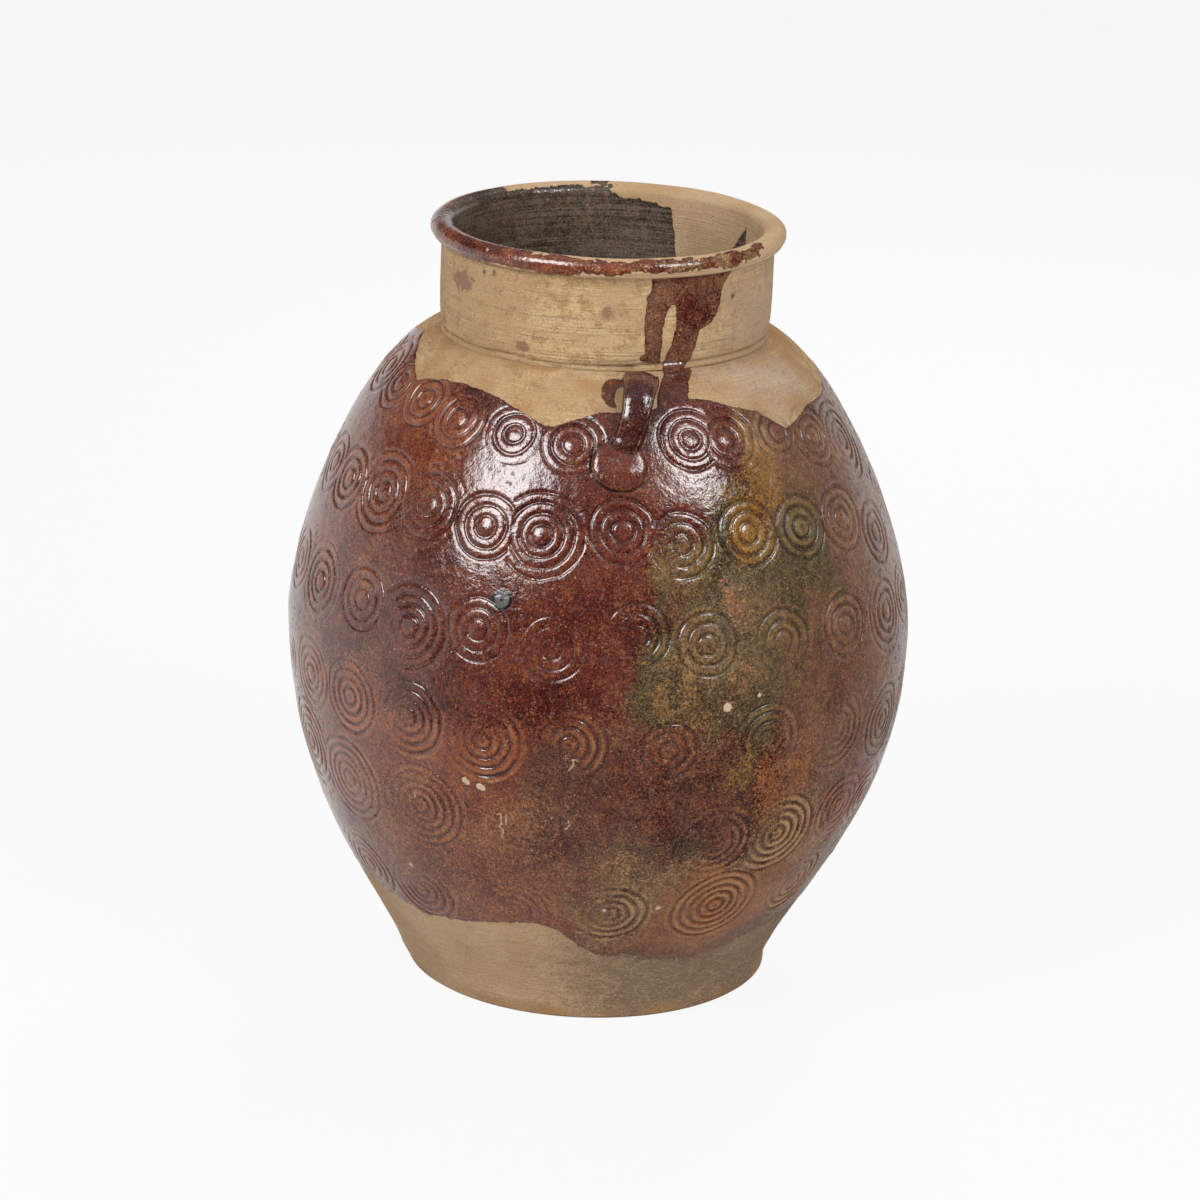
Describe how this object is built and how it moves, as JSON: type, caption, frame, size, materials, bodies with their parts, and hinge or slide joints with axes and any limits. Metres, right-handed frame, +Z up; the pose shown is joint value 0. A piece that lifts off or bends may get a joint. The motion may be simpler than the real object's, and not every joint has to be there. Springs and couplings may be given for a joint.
{
  "type": "storage jar",
  "caption": "Tall ovoid stoneware storage jar with a wide collar neck, rolled rim, cord lugs on the shoulder and rows of pressed concentric-ring stamps under brown glaze.",
  "frame": {"origin": "middle of the foot, on the surface that the jar stands on", "axes": "+Z up along the jar's axis, lugs at -Y (front) and +Y (rear)"},
  "size_m": [0.4028, 0.4028, 0.5],
  "materials": {
    "bare_stoneware": "matt fired buff clay with throwing lines and iron specks",
    "brown_glaze": "glossy maroon to tan ash glaze, thin and pale on the ridges, dark in the grooves",
    "rim_glaze": "glossy brown glaze wiped off in places down to buff clay",
    "lug_glaze": "thick glossy dark brown glaze"
  },
  "bodies": {
    "root": {"base_disc": "bare_stoneware", "foot_course": "bare_stoneware", "wall_course_1": "brown_glaze", "wall_course_2": "brown_glaze", "wall_course_3": "brown_glaze", "wall_course_4": "brown_glaze", "wall_course_5": "brown_glaze", "wall_course_6": "brown_glaze", "shoulder_course": "bare_stoneware", "neck_collar": "bare_stoneware", "rim_roll": "rim_glaze", "front_lug_strap": "lug_glaze", "front_lug_pad": "lug_glaze", "rear_lug_strap": "lug_glaze", "rear_lug_pad": "lug_glaze"}
  },
  "joints": []
}
